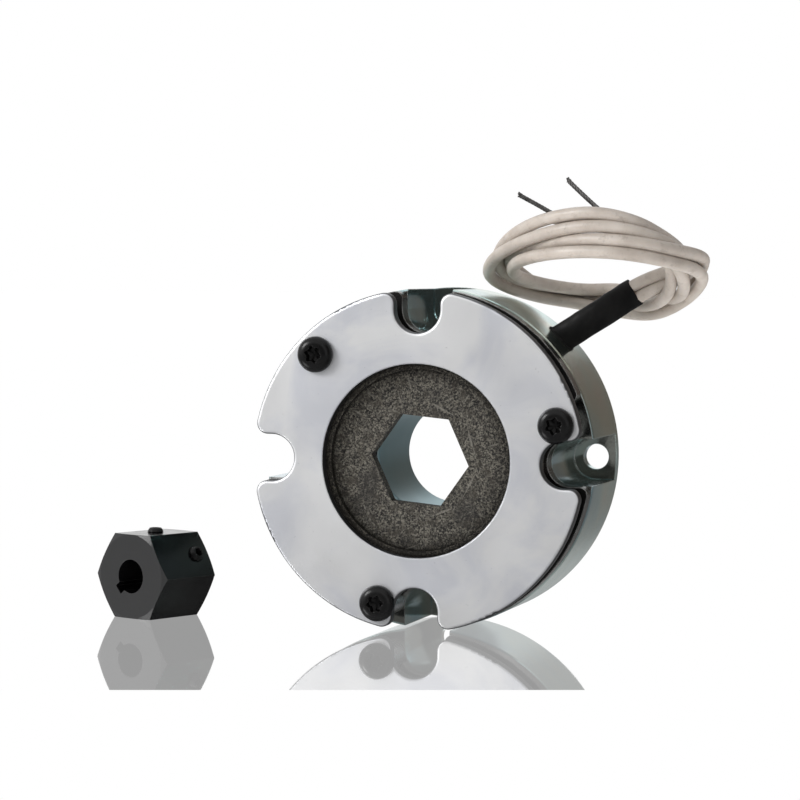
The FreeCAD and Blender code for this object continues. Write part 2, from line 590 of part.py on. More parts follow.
def coil_solid(centre):
    """The outer form of the loose coil: a round bundle that follows an oval of four tangent arcs."""
    long_half = size["CoilLong"] / 2
    short_half = size["CoilShort"] / 2
    end_radius = short_half ** 2 / long_half
    side_radius = ((long_half ** 2 + short_half ** 2 - 2 * long_half * end_radius)
                   / (2 * (short_half - end_radius)))
    end_centre = long_half - end_radius
    side_centre = side_radius - short_half
    joint_turn = math.atan2(side_centre, end_centre)

    def place(x, y):
        return centre + COIL_LONG * x + COIL_SHORT * y

    def joint(across, up):
        return place(across * (end_centre + end_radius * math.cos(joint_turn)),
                     up * end_radius * math.sin(joint_turn))

    end_turn = math.degrees(2 * joint_turn)
    side_turn = 180 - end_turn
    pieces = []
    for middle, radius, start, turn in ((place(end_centre, 0), end_radius, joint(1, -1), end_turn),
                                        (place(0, -side_centre), side_radius, joint(1, 1), side_turn),
                                        (place(-end_centre, 0), end_radius, joint(-1, 1), end_turn),
                                        (place(0, side_centre), side_radius, joint(-1, -1), side_turn)):
        ahead = COIL_NORMAL.cross(start - middle)
        disc = Part.Face(Part.Wire([Part.makeCircle(size["CoilThick"] / 2, start, ahead)]))
        pieces.append(disc.revolve(middle, COIL_NORMAL, turn))
    return pieces[0].multiFuse(pieces[1:])


def make_leads():
    exit_turn = math.radians(size["LeadTurn"])
    sleeve_turn = math.radians(size["SleeveTurn"])
    radial = FreeCAD.Vector(math.cos(exit_turn), 0, math.sin(exit_turn))
    leaning = FreeCAD.Vector(math.cos(sleeve_turn), 0, math.sin(sleeve_turn))
    halfway = (radial + leaning).normalize()
    station = FreeCAD.Vector(0, -size["LeadStation"], 0)
    inside = station + radial * (size["GrooveOuterDia"] / 2 + 2 * size["SeatClearance"])
    surface = station + radial * (size["BodyDia"] / 2)
    beyond = surface + leaning * (size["SleeveReach"] + size["LeadsStraight"])
    centre = surface + COIL_FROM_EXIT
    coil = coil_solid(centre)
    feature("lead_coil", coil)
    for number, side in ((1, 1), (2, -1)):
        offset = size["LeadDia"] / 2 * side
        across = [FreeCAD.Vector(-v.z, 0, v.x) * offset for v in (radial, halfway, leaning)]
        points = [inside + across[0], surface + across[1], beyond + across[2],
                  centre + LEADS_ENTER + across[2]]
        label = "lead_%d" % number
        feature(label, route_tube(points, size["LeadDia"], label).cut(coil))
    for number, offsets in enumerate(BARE_ENDS, 1):
        label = "bare_end_%d" % number
        points = [centre + offset for offset in offsets]
        feature(label, route_tube(points, size["BareDia"], label).cut(coil))


def export():
    doc.recompute()
    for thing in doc.Objects:
        if "Invalid" in thing.State or "Error" in thing.State:
            raise RuntimeError("%s failed: %s" % (thing.Name, thing.State))
    for label, part in nodes.items():
        shape = part.Shape
        if shape.isNull() or not shape.isValid() or len(shape.Solids) != 1:
            raise RuntimeError("%s has a bad shape" % label)
    for label, part in nodes.items():
        part.Shape.exportStep("parts/%s.step" % label)
    print("%d nodes" % len(nodes))


make_magnet_body()
make_coil()
make_springs()
make_armature_plate()
make_friction_disc()
make_pressure_plate()
make_screws()
make_hub()
make_lead_exit()
make_leads()
export()
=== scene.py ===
"""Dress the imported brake: finishes, screws, free leads, sleeve, studio floor and camera."""
import json
import math

import bmesh
import bpy
from bpy.props import FloatProperty, FloatVectorProperty, IntProperty, PointerProperty
from mathutils import Matrix, Vector, noise


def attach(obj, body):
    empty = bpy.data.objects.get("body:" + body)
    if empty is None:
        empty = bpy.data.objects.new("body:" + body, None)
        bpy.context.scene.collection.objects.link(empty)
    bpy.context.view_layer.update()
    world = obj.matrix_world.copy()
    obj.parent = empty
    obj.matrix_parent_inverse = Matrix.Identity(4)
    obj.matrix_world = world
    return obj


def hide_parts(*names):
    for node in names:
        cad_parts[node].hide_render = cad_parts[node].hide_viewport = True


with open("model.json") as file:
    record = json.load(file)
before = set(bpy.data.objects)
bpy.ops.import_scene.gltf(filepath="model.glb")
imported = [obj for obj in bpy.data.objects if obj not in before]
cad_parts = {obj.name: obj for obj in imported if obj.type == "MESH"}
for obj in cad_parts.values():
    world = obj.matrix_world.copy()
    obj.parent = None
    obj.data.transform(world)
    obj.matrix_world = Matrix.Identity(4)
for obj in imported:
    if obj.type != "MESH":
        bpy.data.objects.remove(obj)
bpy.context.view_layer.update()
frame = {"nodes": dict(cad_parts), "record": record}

bl_info = {
    "name": "Brake dresser",
    "version": (1, 0, 0),
    "blender": (4, 5, 0),
    "location": "3D View > Sidebar > Brake",
    "description": "Finishes, fasteners, leads and studio for the packed brake",
    "category": "Object",
}

MM = 0.001

# The middle of the hub's front face, and the hub's turn about the vertical.
HUB_FRONT = Vector((-0.0561, -0.0254, -0.02329))
HUB_TURN = math.radians(22.96)


# The settings that a user would change.

class BrakeStageSettings(bpy.types.PropertyGroup):
    """Floor, backdrop and lamps."""
    floor_height: FloatProperty(name="Floor height", description="Height of the floor", default=-0.03116,
                                unit="LENGTH")
    floor_size: FloatProperty(name="Floor depth", description="How far the gloss sheet runs back",
                              default=6.0, unit="LENGTH")
    sheet_edge: FloatProperty(name="Sheet edge",
                              description="How far below the view's middle the sheet ends, per metre",
                              default=0.09604)
    bounce: FloatProperty(name="Bounce", description="How bright the floor looks in metal", default=0.45)
    fill: FloatProperty(name="Fill", description="Extra light from the floor on undersides", default=2.6)
    mirror_share: FloatProperty(name="Mirror share", description="How much of the floor mirrors",
                                default=0.68)
    front_tone: FloatProperty(name="Front tone", description="What metal reflects from straight in front",
                              default=0.11)
    dark_tone: FloatProperty(name="Dark tone", description="What metal reflects from the dark side",
                             default=0.11)
    ambient: FloatProperty(name="Ambient", description="Soft light from all sides", default=0.54)
    key_power: FloatProperty(name="Key power", description="Power of the soft key lamp, in watts",
                             default=3.4)
    lens: FloatProperty(name="Lens", description="Focal length for a 36 mm sensor, in millimetres",
                        default=135.88)
    camera_place: FloatVectorProperty(name="Camera place", description="Where the camera stands",
                                      default=(0.148556, -0.550533, 0.035394), unit="LENGTH")
    camera_turn: FloatProperty(name="Camera turn", description="Turn to the left, in degrees",
                               default=16.207)
    camera_dip: FloatProperty(name="Camera dip", description="Look down, in degrees", default=2.576)
    camera_roll: FloatProperty(name="Camera roll", description="Roll about the view, in degrees",
                               default=0.51)


class BrakeFastenerSettings(bpy.types.PropertyGroup):
    """The screws of the pressure plate."""
    circle: FloatProperty(name="Screw circle", description="Diameter of the screws' circle",
                          default=0.0536, unit="LENGTH")
    start: FloatProperty(name="First screw", description="Turn of the first screw, in degrees",
                         default=15.1)
    seat: FloatProperty(name="Seat", description="Y of the plate's front face", default=-0.0292,
                        unit="LENGTH")
    head: FloatProperty(name="Head diameter", description="Across the button head", default=0.0066,
                        unit="LENGTH")
    head_height: FloatProperty(name="Head height", description="Height of the button head",
                               default=0.0019, unit="LENGTH")
    shank: FloatProperty(name="Shank diameter", description="Across the thread", default=0.0035,
                         unit="LENGTH")
    tip: FloatProperty(name="Tip", description="Y of the screws' tips", default=-0.0123, unit="LENGTH")


class BrakeLeadSettings(bpy.types.PropertyGroup):
    """Leads, sleeve and bare ends."""
    wire: FloatProperty(name="Wire diameter", description="Across the insulation", default=0.0023,
                        unit="LENGTH")
    rim: FloatProperty(name="Rim radius", description="Radius at which the leads leave the rim",
                       default=0.03115, unit="LENGTH")
    station: FloatProperty(name="Lead station", description="Distance of the leads from the rear face",
                           default=0.0092, unit="LENGTH")
    exit_turn: FloatProperty(name="Exit turn", description="Where the leads leave the rim, in degrees",
                             default=44.9)
    sleeve_turn: FloatProperty(name="Sleeve turn", description="Which way the sleeve leans, in degrees",
                               default=32.7)
    sleeve_reach: FloatProperty(name="Sleeve reach", description="Length of the shrink sleeve",
                                default=0.015, unit="LENGTH")
    points_per_turn: IntProperty(name="Points per turn", description="Route points per turn of the coil",
                                 default=15)
    strand: FloatProperty(name="Strand diameter", description="Across one bare strand", default=0.00031,
                          unit="LENGTH")


# The finishes, one for each material slot.

def new_material(name):
    """A material with its node tree and its main shader."""
    material = bpy.data.materials.new(name)
    material.use_nodes = True
    return material, material.node_tree, material.node_tree.nodes["Principled BSDF"]


def add_node(tree, kind, inputs=None, **attributes):
    """Add a node; inputs are values or sockets to link, by socket name or index."""
    node = tree.nodes.new(kind)
    for name, value in attributes.items():
        setattr(node, name, value)
    for name, value in (inputs or {}).items():
        if isinstance(value, bpy.types.NodeSocket):
            tree.links.new(value, node.inputs[name])
        else:
            node.inputs[name].default_value = value
    return node


def row_coordinates(tree, scale, stretch=(1, 1, 1), turn=0.0):
    """Coordinates that repeat a pattern scale times a metre, turned about Y, then stretched."""
    place = add_node(tree, "ShaderNodeTexCoord").outputs["Object"]
    turned = add_node(tree, "ShaderNodeVectorRotate", {"Vector": place, "Angle": turn},
                      rotation_type="Y_AXIS").outputs[0]
    return add_node(tree, "ShaderNodeMapping", {"Vector": turned,
                                                "Scale": [scale * way for way in stretch]}).outputs[0]


def noise_value(tree, scale, detail=4.0, roughness=0.55, stretch=(1, 1, 1), distortion=0.0, turn=0.0):
    """Noise of scale patches a metre, about 0.5 and mostly between 0.3 and 0.7."""
    return add_node(tree, "ShaderNodeTexNoise", {
        "Vector": row_coordinates(tree, scale, stretch, turn), "Scale": 1.0, "Detail": detail,
        "Roughness": roughness, "Distortion": distortion}).outputs["Fac"]


def spread(tree, value, low, high, start=0.3, end=0.7):
    """Map a value from start..end to low..high, and hold it there beyond."""
    return add_node(tree, "ShaderNodeMapRange", {"Value": value, "From Min": start, "From Max": end,
                                                 "To Min": low, "To Max": high}).outputs[0]


def colours(tree, value, stops):
    """Colour a value by stops, each a place between 0 and 1 and a colour."""
    ramp = add_node(tree, "ShaderNodeValToRGB", {0: value})
    elements = ramp.color_ramp.elements
    while len(elements) < len(stops):
        elements.new(0.5)
    for element, (position, colour) in zip(elements, stops):
        element.position = position
        element.color = (*colour, 1.0)
    return ramp.outputs[0]


def mix_colour(tree, factor, first, second):
    """Mix two colours, each a socket or three numbers."""
    mix = add_node(tree, "ShaderNodeMix", data_type="RGBA")
    tree.links.new(factor, mix.inputs[0])
    for index, colour in ((6, first), (7, second)):
        if isinstance(colour, bpy.types.NodeSocket):
            tree.links.new(colour, mix.inputs[index])
        else:
            mix.inputs[index].default_value = (*colour, 1.0)
    return mix.outputs[2]


def rounded_edges(tree, reach=0.0003):
    """The surface's normal as if its edges were rounded over."""
    return add_node(tree, "ShaderNodeBevel", {"Radius": reach}, samples=4).outputs[0]


def facing(tree, way, start, end):
    """1 where the surface faces a way, 0 where it turns from it."""
    normal = add_node(tree, "ShaderNodeNewGeometry").outputs["Normal"]
    agree = add_node(tree, "ShaderNodeVectorMath", {0: normal, 1: way}, operation="DOT_PRODUCT")
    return spread(tree, agree.outputs["Value"], 0.0, 1.0, start, end)


def near_axis(tree, radius):
    """1 inside a radius about the main axis, 0 outside it."""
    place = add_node(tree, "ShaderNodeTexCoord").outputs["Object"]
    across = add_node(tree, "ShaderNodeVectorMath", {0: place, 1: (1.0, 0.0, 1.0)},
                      operation="MULTIPLY").outputs[0]
    away = add_node(tree, "ShaderNodeVectorMath", {0: across}, operation="LENGTH").outputs["Value"]
    return spread(tree, away, 1.0, 0.0, radius, radius + 0.0002)


def edge_wear_and_shade(tree, rounded, colour, worn):
    """Show an edge colour where the rounded normal leaves the face's own, broken by noise; it is rubbed
    wear on most finishes and painted shade on the bright plate's rolled edges.
    """
    geometry = add_node(tree, "ShaderNodeNewGeometry")
    agree = add_node(tree, "ShaderNodeVectorMath", {0: rounded, 1: geometry.outputs["Normal"]},
                     operation="DOT_PRODUCT").outputs["Value"]
    edge = spread(tree, agree, 1.0, 0.0, 0.90, 0.99)
    broken = spread(tree, noise_value(tree, 700.0), 0.2, 1.0, 0.35, 0.65)
    factor = add_node(tree, "ShaderNodeMath", {0: edge, 1: broken}, operation="MULTIPLY", use_clamp=True)
    return mix_colour(tree, factor.outputs[0], colour, worn)


def add_bump(tree, shader, heights, distance, normal=None):
    """Chain bumps on a normal; heights are pairs of a height socket and its strength."""
    for height, strength in heights:
        inputs = {"Height": height, "Strength": strength, "Distance": distance}
        if normal is not None:
            inputs["Normal"] = normal
        normal = add_node(tree, "ShaderNodeBump", inputs).outputs[0]
    tree.links.new(normal, shader.inputs["Normal"])


def plated_steel(name, stops, roughness, streak, worn, turned=None):
    """Zinc-plated steel: drifting tint, uneven gloss, streaks and worn edges.

    Where turned gives the radii of a bore and a rim, the bore is satin and carries a bluish painted
    shade, and what lies between them, such as the pockets, is glossier than the rim and carries painted
    shade.
    """
    material, tree, shader = new_material(name)
    shader.inputs["Metallic"].default_value = 1.0
    rounded = rounded_edges(tree)
    tint = noise_value(tree, 38.0, 3.0, 0.5, distortion=0.6)
    colour = colours(tree, tint, stops)
    gloss = spread(tree, noise_value(tree, 160.0, 5.0, 0.6), *roughness)
    if turned:
        bore, rim = turned
        in_bore, in_rim = near_axis(tree, bore), near_axis(tree, rim)
        # Painted shade in the pockets: dimmer, bluer copies of the tint on the walls, and a dark grey on
        # the floors that face the front.
        shaded_stops = [(place, (red * 0.80, green * 0.86, blue * 0.92)) for place, (red, green, blue) in stops]
        pocket_floor = facing(tree, (0.0, -1.0, 0.0), 0.90, 0.99)
        pocket_shade = mix_colour(tree, pocket_floor, colours(tree, tint, shaded_stops), (0.30, 0.31, 0.285))
        colour = mix_colour(tree, in_rim, colour, pocket_shade)
        # Painted shade in the bore: a dim bluish grey.
        colour = mix_colour(tree, in_bore, colour, (0.34, 0.49, 0.53))
        for place, change in ((in_bore, 0.32), (in_rim, -0.07)):
            gloss = add_node(tree, "ShaderNodeMath", {0: place, 1: change, 2: gloss},
                             operation="MULTIPLY_ADD").outputs[0]
    tree.links.new(edge_wear_and_shade(tree, rounded, colour, worn), shader.inputs["Base Color"])
    tree.links.new(gloss, shader.inputs["Roughness"])
    add_bump(tree, shader, [(noise_value(tree, 420.0, 3.0, 0.6, streak), 0.05),
                            (noise_value(tree, 1500.0, 2.0), 0.03)], 0.0002, rounded)
    return material


def zinc_body():
    """Bright zinc with a bluish tint, for the magnet body."""
    return plated_steel("zinc_body", [(0.34, (0.46, 0.62, 0.66)), (0.46, (0.58, 0.74, 0.72)),
                                      (0.56, (0.68, 0.78, 0.70)), (0.68, (0.74, 0.74, 0.66))],
                        (0.16, 0.22), (1, 9, 1), (0.50, 0.54, 0.54), (0.0098, 0.0309))


def zinc_armature():
    """Dull zinc for the armature plate, coloured dark grey as painted shade for the gap between plate and
    body.
    """
    return plated_steel("zinc_armature", [(0.35, (0.10, 0.097, 0.094)), (0.5, (0.17, 0.165, 0.158)),
                                          (0.65, (0.27, 0.26, 0.25))],
                        (0.18, 0.30), (1, 7, 1), (0.62, 0.63, 0.62))


def bright_plate():
    """Smooth stamped plate: satin, with faint cloudy patches, tiny pits and painted shade on its rolled
    edges.
    """
    material, tree, shader = new_material("bright_plate")
    shader.inputs["Metallic"].default_value = 1.0
    rounded = rounded_edges(tree, 0.0004)
    patch = noise_value(tree, 60.0, 4.0, 0.5, distortion=1.2)
    base = colours(tree, patch, [(0.36, (0.81, 0.825, 0.875)), (0.48, (0.885, 0.895, 0.925)),
                                 (0.60, (0.94, 0.945, 0.955))])
    pits = spread(tree, noise_value(tree, 1700.0, 2.0, 0.5), 0.0, 0.4, 0.72, 0.80)
    base = mix_colour(tree, pits, base, (0.45, 0.46, 0.48))
    # Painted shade: faces that turn away from the front, the rolled edges and the rim, are painted dark
    # grey.
    unshaded_front = facing(tree, (0.0, -1.0, 0.0), 0.66, 0.96)
    base = mix_colour(tree, unshaded_front, (0.14, 0.143, 0.15), base)
    gloss = spread(tree, noise_value(tree, 70.0, 4.0, 0.55), 0.46, 0.53)
    # Painted shade: the edge colour here is a dark grey line along the rolled edges.
    tree.links.new(edge_wear_and_shade(tree, rounded, base, (0.40, 0.41, 0.43)), shader.inputs["Base Color"])
    tree.links.new(gloss, shader.inputs["Roughness"])
    add_bump(tree, shader, [(noise_value(tree, 260.0, 4.0, 0.55), 0.03),
                            (noise_value(tree, 2600.0, 2.0), 0.04)], 0.0002, rounded)
    return material


def friction_lining():
    """Moulded friction lining: dark binder, brown and pale grains, scratches and painted shade in its
    corners.
    """
    material, tree, shader = new_material("friction")
    grain = noise_value(tree, 3300.0, 4.0, 0.8)
    base = colours(tree, grain, [(0.42, (0.001, 0.001, 0.001)), (0.46, (0.023, 0.021, 0.019)),
                                 (0.52, (0.075, 0.069, 0.058)), (0.59, (0.205, 0.19, 0.155))])
    cloud = spread(tree, noise_value(tree, 420.0, 5.0, 0.75), 0.0, 0.65, 0.49, 0.60)
    base = mix_colour(tree, cloud, base, (0.040, 0.034, 0.026))
    stain = spread(tree, noise_value(tree, 130.0, 4.0, 0.6), 0.0, 0.6, 0.54, 0.68)
    base = mix_colour(tree, stain, base, (0.020, 0.0185, 0.017))
    for turn in (0.4, 1.1, 1.9, 2.7):
        streaks = noise_value(tree, 1900.0, 1.0, 0.5, (0.16, 1.0, 1.0), 0.5, turn)
        base = mix_colour(tree, spread(tree, streaks, 0.0, 0.40, 0.68, 0.78), base, (0.26, 0.245, 0.21))
    place = row_coordinates(tree, 480.0, (1.0, 1.0, 1.6))
    cells = add_node(tree, "ShaderNodeTexVoronoi", {"Vector": place, "Scale": 1.0})
    flecks = spread(tree, cells.outputs["Distance"], 1.0, 0.0, 0.04, 0.12)
    rare = spread(tree, noise_value(tree, 300.0, 2.0), 0.0, 0.8, 0.60, 0.68)
    shown = add_node(tree, "ShaderNodeMath", {0: flecks, 1: rare}, operation="MULTIPLY", use_clamp=True)
    base = mix_colour(tree, shown.outputs[0], base, (0.36, 0.33, 0.28))
    # Painted shade: an Ambient Occlusion node darkens the lining, and weakens its reflection, where the
    # plate's edge and other parts close over it.
    open_to_light = add_node(tree, "ShaderNodeAmbientOcclusion", {"Distance": 0.005}, samples=8).outputs["AO"]
    base = mix_colour(tree, spread(tree, open_to_light, 0.95, 0.0, 0.45, 0.90), base, (0.006, 0.0055, 0.005))
    tree.links.new(spread(tree, open_to_light, 0.04, 0.35, 0.50, 0.90), shader.inputs["Specular IOR Level"])
    tree.links.new(base, shader.inputs["Base Color"])
    tree.links.new(spread(tree, grain, 0.62, 0.85), shader.inputs["Roughness"])
    add_bump(tree, shader, [(grain, 0.55), (noise_value(tree, 500.0, 5.0, 0.7), 0.35)], 0.00035)
    return material


def blackened_steel(name, stops, specular, roughness, worn, lit_face=None):
    """Blackened steel: near black with a soft sheen, rubbed edges, and painted light as a greyer colour
    on the face that turns a given way.
    """
    material, tree, shader = new_material(name)
    shader.inputs["Specular IOR Level"].default_value = specular
    rounded = rounded_edges(tree, 0.00015)
    base = colours(tree, noise_value(tree, 240.0, 4.0), stops)
    if lit_face:
        # Painted light: faces turned the given way are coloured a lighter grey.
        way, colour = lit_face
        base = mix_colour(tree, facing(tree, way, 0.80, 0.95), base, colour)
    tree.links.new(edge_wear_and_shade(tree, rounded, base, worn), shader.inputs["Base Color"])
    tree.links.new(spread(tree, noise_value(tree, 300.0, 4.0), *roughness), shader.inputs["Roughness"])
    add_bump(tree, shader, [(noise_value(tree, 2400.0, 3.0), 0.05)], 0.0001, rounded)
    return material


def black_oxide():
    """The screws' finish, softly glossy."""
    return blackened_steel("black_oxide", [(0.35, (0.0045, 0.0045, 0.0048)),
                                           (0.65, (0.0075, 0.0073, 0.0073))],
                           0.20, (0.20, 0.28), (0.03, 0.028, 0.027))


def hub_black():
    """The hub's finish: painted light makes its front face greyer, and a painted sheen makes its upper
    flat reflect strongly.
    """
    front = (-math.sin(HUB_TURN), -math.cos(HUB_TURN), 0.0)
    material = blackened_steel("hub_black", [(0.35, (0.0018, 0.0019, 0.0021)),
                                             (0.65, (0.004, 0.004, 0.0043))],
                               0.16, (0.14, 0.22), (0.06, 0.059, 0.058), (front, (0.030, 0.030, 0.0305)))
    tree = material.node_tree
    # Painted sheen: faces turned upward get a far stronger reflection than the rest of the hub.
    upper = facing(tree, (0.0, 0.0, 1.0), 0.90, 0.99)
    specular = spread(tree, upper, 0.16, 1.0, 0.0, 1.0)
    tree.links.new(specular, tree.nodes["Principled BSDF"].inputs["Specular IOR Level"])
    return material


def white_wire():
    """Off-white lead insulation: warm, slightly waxy, with handling marks."""
    material, tree, shader = new_material("white_wire")
    shader.inputs["Subsurface Weight"].default_value = 0.12
    shader.inputs["Subsurface Radius"].default_value = (0.0012, 0.0009, 0.0006)
    shader.inputs["Subsurface Scale"].default_value = 0.4
    shader.inputs["Specular IOR Level"].default_value = 0.45
    tone = noise_value(tree, 140.0, 4.0, 0.6)
    base = colours(tree, tone, [(0.34, (0.455, 0.395, 0.345)), (0.52, (0.54, 0.48, 0.425)),
                                (0.68, (0.61, 0.55, 0.495))])
    smudge = spread(tree, noise_value(tree, 700.0, 5.0, 0.7), 0.0, 0.50, 0.55, 0.67)
    base = mix_colour(tree, smudge, base, (0.33, 0.28, 0.24))
    tree.links.new(base, shader.inputs["Base Color"])
    tree.links.new(spread(tree, noise_value(tree, 400.0), 0.34, 0.52), shader.inputs["Roughness"])
    add_bump(tree, shader, [(noise_value(tree, 700.0, 3.0), 0.10)], 0.0002)
    return material


def black_rubber():
    """Shrunk rubber-like sleeve: matt black with fine wrinkles."""
    material, tree, shader = new_material("black_rubber")
    shader.inputs["Specular IOR Level"].default_value = 0.16
    rounded = rounded_edges(tree, 0.0002)
    tone = noise_value(tree, 300.0, 4.0)
    base = colours(tree, tone, [(0.35, (0.0030, 0.0030, 0.0032)), (0.65, (0.0075, 0.0072, 0.0072))])
    tree.links.new(edge_wear_and_shade(tree, rounded, base, (0.03, 0.029, 0.028)), shader.inputs["Base Color"])
    tree.links.new(spread(tree, noise_value(tree, 500.0), 0.42, 0.60), shader.inputs["Roughness"])
    add_bump(tree, shader, [(noise_value(tree, 260.0, 4.0, 0.6, (1, 3, 1)), 0.25),
                            (noise_value(tree, 1600.0, 3.0), 0.12)], 0.00025, rounded)
    return material


def plain_metal(name, stops, roughness, scale=500.0, stretch=(1, 1, 1), metallic=1.0):
    """A small metal or plastic piece: toned by noise, with uneven gloss and a fine bump."""
    material, tree, shader = new_material(name)
    shader.inputs["Metallic"].default_value = metallic
    rounded = rounded_edges(tree, 0.0002)
    tone = noise_value(tree, scale, 4.0, 0.6, stretch)
    base = colours(tree, tone, stops)
    worn = [min(1.0, channel * 1.4) for channel in stops[-1][1]]
    tree.links.new(edge_wear_and_shade(tree, rounded, base, worn), shader.inputs["Base Color"])
    tree.links.new(spread(tree, noise_value(tree, scale * 0.7), *roughness), shader.inputs["Roughness"])
    add_bump(tree, shader, [(noise_value(tree, scale * 2.0, 3.0, 0.6, stretch), 0.12)], 0.0002, rounded)
    return material


def wound_copper():
    """Enamelled winding: copper brown, with one ridge for each layer's turn."""
    material, tree, shader = new_material("enamel_wire")
    shader.inputs["Metallic"].default_value = 0.8
    shader.inputs["Coat Weight"].default_value = 0.6
    tone = noise_value(tree, 300.0)
    base = colours(tree, tone, [(0.35, (0.30, 0.10, 0.035)), (0.65, (0.50, 0.20, 0.07))])
    tree.links.new(base, shader.inputs["Base Color"])
    tree.links.new(spread(tree, noise_value(tree, 400.0), 0.25, 0.4), shader.inputs["Roughness"])
    turns = add_node(tree, "ShaderNodeTexWave", {"Vector": row_coordinates(tree, 800.0), "Scale": 1.0,
                                                 "Distortion": 0.4}, bands_direction="Y")
    add_bump(tree, shader, [(turns.outputs["Fac"], 0.6)], 0.00015)
    return material


FINISHES = {
    "zinc_body": zinc_body,
    "zinc_armature": zinc_armature,
    "bright_plate": bright_plate,
    "friction": friction_lining,
    "black_oxide": black_oxide,
    "hub_black": hub_black,
    "white_wire": white_wire,
    "black_rubber": black_rubber,
    "enamel_wire": wound_copper,
    "nylon": lambda: plain_metal("nylon", [(0.35, (0.62, 0.59, 0.50)), (0.65, (0.74, 0.71, 0.62))],
                                 (0.4, 0.55), metallic=0.0),
    "resin": lambda: plain_metal("resin", [(0.35, (0.012, 0.010, 0.009)), (0.65, (0.03, 0.026, 0.022))],
                                 (0.15, 0.35), metallic=0.0),
    "tinned_strand": lambda: plain_metal("tinned_strand", [(0.35, (0.05, 0.048, 0.047)),
                                                           (0.65, (0.16, 0.155, 0.15))],
                                         (0.35, 0.5), scale=900.0),
    "spring_steel": lambda: plain_metal("spring_steel", [(0.35, (0.36, 0.36, 0.37)),
                                                         (0.65, (0.5, 0.5, 0.51))], (0.25, 0.4)),
    "bright_steel": lambda: plain_metal("bright_steel", [(0.35, (0.50, 0.51, 0.53)),
                                                         (0.65, (0.64, 0.65, 0.66))],
                                        (0.2, 0.34), stretch=(1, 8, 1)),
}


def finish_named(slot):
    """The finish of a material slot, made once."""
    name = slot + "_finish"
    if name not in bpy.data.materials:
        FINISHES[slot]().name = name
    return bpy.data.materials[name]


def record_slots():
    """Which slot each node takes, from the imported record."""
    return {part["node"]: part["material_slot"] for part in frame["record"]["subparts"]}


class BRAKE_OT_finishes(bpy.types.Operator):
    """Give every CAD node the finish of its material slot"""
    bl_idname = "brake.apply_finishes"
    bl_label = "Apply finishes"

    def execute(self, context):
        finishes = record_slots()
        # The hub is a deeper black than the screws, which share its slot.
        finishes["hub"] = "hub_black"
        for name, thing in frame["nodes"].items():
            thing.data.materials.clear()
            thing.data.materials.append(finish_named(finishes[name]))
        return {"FINISHED"}


# Shapes that several pieces share.

def placed(name, data):
    """A new object in the scene."""
    thing = bpy.data.objects.new(name, data)
    bpy.context.scene.collection.objects.link(thing)
    return thing


def mesh_piece(name, mesh, slot):
    """Turn a finished mesh into a piece that rides on the magnet body."""
    data = bpy.data.meshes.new(name)
    mesh.to_mesh(data)
    mesh.free()
    thing = placed(name, data)
    data.materials.append(finish_named(slot))
    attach(thing, "magnet")
    return thing


def join_rows(mesh, rows):
    """Faces between each row of corners and the next, closed round."""
    for first, second in zip(rows, rows[1:]):
        for k in range(len(first)):
            after = (k + 1) % len(first)
            mesh.faces.new((first[k], first[after], second[after], second[k]))


def loft(name, rings, slot, capped=True, sharp=35.0):
    """A skin through rings of equally many points, with smooth shading between sharp edges."""
    mesh = bmesh.new()
    rows = [[mesh.verts.new(point) for point in ring] for ring in rings]
    join_rows(mesh, rows)
    if capped:
        mesh.faces.new(rows[0])
        mesh.faces.new(rows[-1])
    bmesh.ops.recalc_face_normals(mesh, faces=mesh.faces)
    for face in mesh.faces:
        face.smooth = True
    for edge in mesh.edges:
        edge.smooth = edge.calc_face_angle(0.0) < math.radians(sharp)
    return mesh_piece(name, mesh, slot)


def ring_points(centre, across, up, radius_at, count):
    """A ring of points; across and up span it, and radius_at gives its radius at a turn."""
    points = []
    for k in range(count):
        turn = 2 * math.pi * k / count
        radius = radius_at(turn)
        points.append(centre + across * (radius * math.cos(turn)) + up * (radius * math.sin(turn)))
    return points


def steady(radius):
    """The same radius at every turn."""
    return lambda turn: radius


def six_lobes(size, turn_by):
    """Radius of a six-lobe recess of a given size."""
    return lambda turn: size * (0.875 + 0.125 * math.cos(6 * (turn - turn_by)))


def hexagon(size, turn_by):
    """Radius of a hexagonal recess, size across its flats."""
    def radius(turn):
        local = (turn - turn_by) % (math.pi / 3) - math.pi / 6
        return size / 2 / math.cos(local)
    return radius


def threads(radius, start, end, pitch):
    """The roots and crests of a thread from start to end, as pairs of radius and height."""
    count = max(2, int(abs(end - start) / pitch))
    step = (end - start) / count
    root = radius - pitch * 0.3
    pairs = []
    for k in range(count):
        height = start + (end - start) * k / count
        pairs.append((root, height))
        pairs.append((radius, height + step * 0.5))
    pairs.append((root, end))
    return pairs


# The screws of the pressure plate and of the hub.

